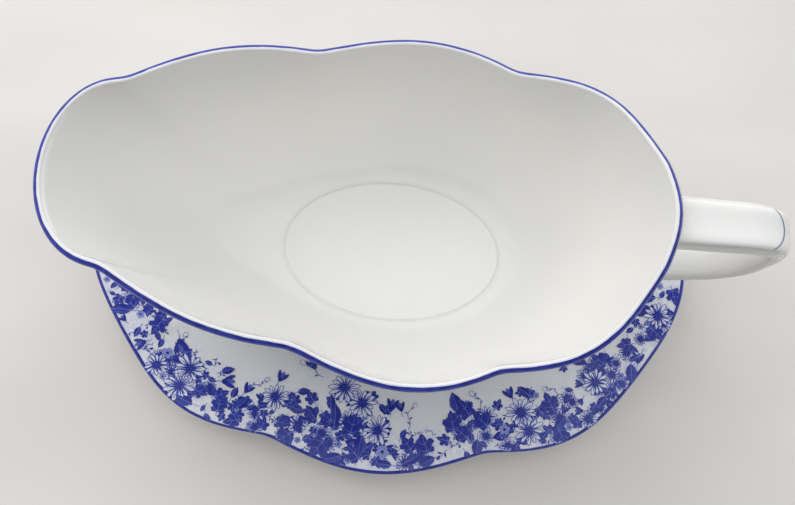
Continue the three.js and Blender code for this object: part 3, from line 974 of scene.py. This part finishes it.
def handle(wall):
    """The strap, trimmed where its strands meet the boat's wall, and flared into it."""
    points, flare, run, angles = strap()
    length = run[-1]
    starts, ends = (
        meets_wall(wall, points, run, int(STRAP_STEPS * share), last)
        for share, last in zip(HANDLE_CLEAR, (False, True)))
    fine = np.linspace(0, HANDLE_FINE_END, 21)
    coarse = np.linspace(HANDLE_FINE_END, length - HANDLE_FINE_END, 210)[1:-1]
    marks = np.concatenate([fine, coarse, length - fine[::-1]]) / length
    rings = np.zeros((len(marks), STRAP_SIDES, 3))
    for side in range(STRAP_SIDES):
        first, last = starts[side] - WALL_BITE, ends[side] + WALL_BITE
        at = first + (last - first) * marks
        reach = np.minimum(at - starts[side], ends[side] - at).clip(0, HANDLE_FILLET)
        fillet = HANDLE_FILLET - np.sqrt(HANDLE_FILLET ** 2 - (HANDLE_FILLET - reach) ** 2)
        for axis in range(3):
            point = np.interp(at, run, points[:, side, axis])
            rings[:, side, axis] = point + np.interp(at, run, flare[:, side, axis]) * fillet
    obj = loft("handle_china", rings)
    across = strap_section(HANDLE_LINE_AT / length, angles)[0] / (STRAP_WIDTH[1] / 2)
    from_line = (marks * length)[:, None] - HANDLE_LINE_AT + HANDLE_LINE_SAG * across ** 2
    on_top = np.sin(angles) > HANDLE_LINE_TOP
    write_attribute(obj, "from_lip", np.where(on_top, from_line * HANDLE_LINE_SCALE, NO_LINE).ravel())
    return obj


# ---- Materials ----

class Nodes:
    """A material's or the world's nodes, with a short way to add each kind that is used here."""

    def __init__(self, owner):
        owner.use_nodes = True
        self.tree = owner.node_tree

    def add(self, kind, output, inputs=None, **settings):
        """Add a node with these inputs and settings, and return its output."""
        made = self.tree.nodes.new(kind)
        for name, value in settings.items():
            setattr(made, name, value)
        for name, value in (inputs or {}).items():
            self.fill(made.inputs[name], value)
        return made.outputs[output]

    def fill(self, socket, value):
        """Set a socket to a number, vector or colour, or link another node's output to it."""
        if isinstance(value, (int, float, tuple)):
            socket.default_value = value
        else:
            self.tree.links.new(value, socket)

    def shade(self, **inputs):
        """Fill the shader's own sockets, whose names have _ here for each space."""
        shader = self.tree.nodes["Principled BSDF"]
        for name, value in inputs.items():
            self.fill(shader.inputs[name.replace("_", " ")], value)

    def place(self, space="Object"):
        return self.add("ShaderNodeTexCoord", space)

    def attribute(self, name):
        return self.add("ShaderNodeAttribute", "Fac", attribute_name=name)

    def math(self, operation, a, b=0.0):
        return self.add("ShaderNodeMath", 0, {0: a, 1: b}, operation=operation)

    def plus(self, a, b):
        return self.math("ADD", a, b)

    def minus(self, a, b):
        return self.math("SUBTRACT", a, b)

    def times(self, a, b):
        return self.math("MULTIPLY", a, b)

    def mix(self, factor, a, b):
        """Colour a where the factor is 0, and colour b where it is 1."""
        return self.add("ShaderNodeMix", 2, {0: factor, 6: a, 7: b}, data_type="RGBA")

    def ramp(self, value, low, high, results=(0.0, 1.0)):
        """The first result below low, the second above high, smooth between."""
        ends = {"From Min": low, "From Max": high, "To Min": results[0], "To Max": results[1]}
        inputs = {"Value": value, **ends}
        return self.add("ShaderNodeMapRange", "Result", inputs, interpolation_type="SMOOTHSTEP")

    def noise(self, place, scale, detail=3.0, rough=0.55):
        inputs = {"Vector": place, "Scale": scale, "Detail": detail, "Roughness": rough}
        return self.add("ShaderNodeTexNoise", "Fac", inputs)

    def bump(self, height, strength, distance):
        inputs = {"Height": height, "Strength": strength, "Distance": distance}
        return self.add("ShaderNodeBump", "Normal", inputs)


def new_material(name):
    material = bpy.data.materials.new(name)
    return material, Nodes(material)


def body_color(nodes, place, white):
    """Clouded white with rare brown specks, tinted by the wash round the print."""
    color = nodes.mix(nodes.ramp(nodes.noise(place, 22.0), 0.35, 0.7), *white)
    speck = nodes.ramp(nodes.noise(place, 900.0, 1.0), 0.79, 0.83)
    color = nodes.mix(nodes.times(speck, 0.18), color, SPECK_BROWN)
    blotches = nodes.ramp(nodes.noise(place, 520.0, 4.0, 0.65), 0.36, 0.7)
    blotchy = nodes.times(nodes.attribute("wash"), blotches)
    return nodes.mix(nodes.times(blotchy, 0.6), color, WASH_BLUE)


def painted_line(nodes, place, color, span, paint_and_highlight):
    """A hand-painted line over a colour: uneven in width and strength, and bled at its edges. Its middle is
    lighter as a painted highlight, where the rounded crest catches the light.
    """
    start, end = span
    wobble = nodes.times(nodes.minus(nodes.noise(place, 160.0, 2.0), 0.5), 0.55)
    distance = nodes.plus(nodes.attribute("from_lip"), wobble)
    bled = nodes.times(nodes.ramp(distance, start - LINE_BLEED, start), 0.4)
    past = nodes.minus(1.0, nodes.ramp(distance, end, end + LINE_BLEED))
    color = nodes.mix(nodes.times(bled, past), color, BLED_BLUE)
    after = nodes.ramp(distance, start - 0.08, start + 0.08)
    before = nodes.minus(1.0, nodes.ramp(distance, end - 0.12, end + 0.12))
    from_middle = nodes.math("ABSOLUTE", nodes.minus(distance, (start + end) / 2))
    # painted highlight: the line is lighter along its middle, standing in for light caught on the lip's
    # rounded crest
    crest_highlight = nodes.minus(1.0, nodes.ramp(from_middle, 0.1, (end - start) * 0.36))
    patchy = nodes.ramp(nodes.noise(place, 420.0, 4.0), 0.38, 0.62)
    # the lighter colour goes where the painted highlight and the paint's uneven patches are
    highlight_and_patches = nodes.times(nodes.plus(nodes.times(crest_highlight, 0.6), nodes.times(patchy, 0.35)), 0.9)
    return nodes.mix(nodes.times(after, before), color, nodes.mix(highlight_and_patches, *paint_and_highlight))


def china(name, white, span, paint_and_highlight):
    """Glazed bone china with a painted line, and bare biscuit where the foot stands."""
    material, nodes = new_material(name)
    place = nodes.place()
    color = painted_line(nodes, place, body_color(nodes, place, white), span, paint_and_highlight)
    bare = nodes.attribute("bare")
    biscuit = nodes.mix(nodes.noise(place, 2600.0, 2.0), *BISCUIT)
    nodes.shade(Base_Color=nodes.mix(bare, color, biscuit))

    smears = nodes.times(nodes.noise(place, 60.0, 4.0), 0.07)
    roughness = nodes.plus(nodes.plus(nodes.times(bare, 0.6), smears), 0.03)
    nodes.shade(Roughness=roughness, IOR=1.5, Coat_Weight=0.25, Coat_Roughness=0.03, Coat_IOR=1.5)
    nodes.shade(Subsurface_Weight=0.12, Subsurface_Radius=(1.0, 0.9, 0.75), Subsurface_Scale=0.0015)

    ripple = nodes.times(nodes.noise(place, 420.0, 2.0), 0.03)
    surface = nodes.plus(nodes.noise(place, 38.0, 2.0), ripple)
    nodes.shade(Normal=nodes.bump(surface, strength=0.12, distance=0.0006))
    return material


def transfer_print():
    """Cobalt transfer print under the glaze. The attribute ink says how strongly it took."""
    material, nodes = new_material("cobalt_print")
    ink = nodes.attribute("ink")
    uneven = nodes.times(nodes.minus(nodes.noise(nodes.place(), 1500.0, 3.0), 0.5), 0.5)
    strength = nodes.plus(ink, nodes.times(uneven, ink))
    pale = nodes.mix(nodes.ramp(strength, 0.0, 0.5), PRINT_PALE, PRINT_MIDDLE)
    deep = nodes.mix(nodes.ramp(strength, 0.35, 1.0), pale, PRINT_DEEP)
    nodes.shade(Base_Color=deep, Roughness=0.2, IOR=1.5)
    nodes.shade(Coat_Weight=0.0, Coat_Roughness=0.03, Coat_IOR=1.5)
    return material


# ---- Putting it together ----

def dress(obj, material, body, node_name=None):
    obj.data.materials.clear()
    obj.data.materials.append(material)
    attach(obj, body)
    if node_name:
        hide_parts(node_name)


def make_boat(blue):
    """The boat and its print. Returns the outside wall, which the handle is trimmed to."""
    boat, rings, crown_ring, side = boat_body()
    dress(boat, china("boat_glaze", BOAT_WHITE, BOAT_LINE, LINE_INK_AND_HIGHLIGHT), "boat", "boat_body")
    ink = Print(side, seed=7)
    stamp_all(ink, BOAT_SPRAYS, turns=((0, 1), (0, -1)))
    dress(ink.mesh("boat_print"), blue, "boat")
    outside = along_columns(rings, crown_ring).ravel() > 0
    wash = wash_near(rings, ink.stamps, BOAT_WASH) * BOAT_WASH_STRENGTH
    write_attribute(boat, "wash", wash * outside)
    return side


def make_plate(blue):
    plate, rings, edge_ring, top = underplate()
    material = china("plate_glaze", PLATE_WHITE, PLATE_LINE, LINE_INK_AND_HIGHLIGHT)
    dress(plate, material, "underplate", "underplate")
    ink = Print(top, seed=3)
    for turned in (0, 180):
        for bearing, depth, reach, stamps in PLATE_BUNCHES:
            bunch(ink, bearing + turned, depth, reach, BUNCH_TRIES * stamps)
    ink.base = PRINT_LIFT + SPRAY_LIFT
    stamp_all(ink, PLATE_SPRAYS, turns=((0, 1), (180, 1)))
    ink.base = PRINT_LIFT
    strew(ink, 300, 2.8, 9.0, 3.4, (leaf, ivy, bud))
    strew(ink, 420, 2.2, 13.0, 2.3, (tendril, tendril, sprig, leaf, floret))
    dress(ink.mesh("plate_print"), blue, "underplate")
    depth = -along_columns(rings, edge_ring).ravel()
    strength = (WASH_LEAST + (1 - WASH_LEAST) * np.exp(-(depth / WASH_DEPTH) ** 2)) * (depth > 0)
    write_attribute(plate, "wash", wash_near(rings, ink.stamps, PLATE_WASH) * strength)


def make_handle(wall):
    material = china("handle_glaze", BOAT_WHITE, HANDLE_LINE_SPAN, HANDLE_LINE_INK_AND_HIGHLIGHT)
    dress(handle(wall), material, "boat", "handle")


make_camera()
make_room()
make_window()
make_floor()
print_blue = transfer_print()
boat_wall = make_boat(print_blue)
make_plate(print_blue)
make_handle(boat_wall)
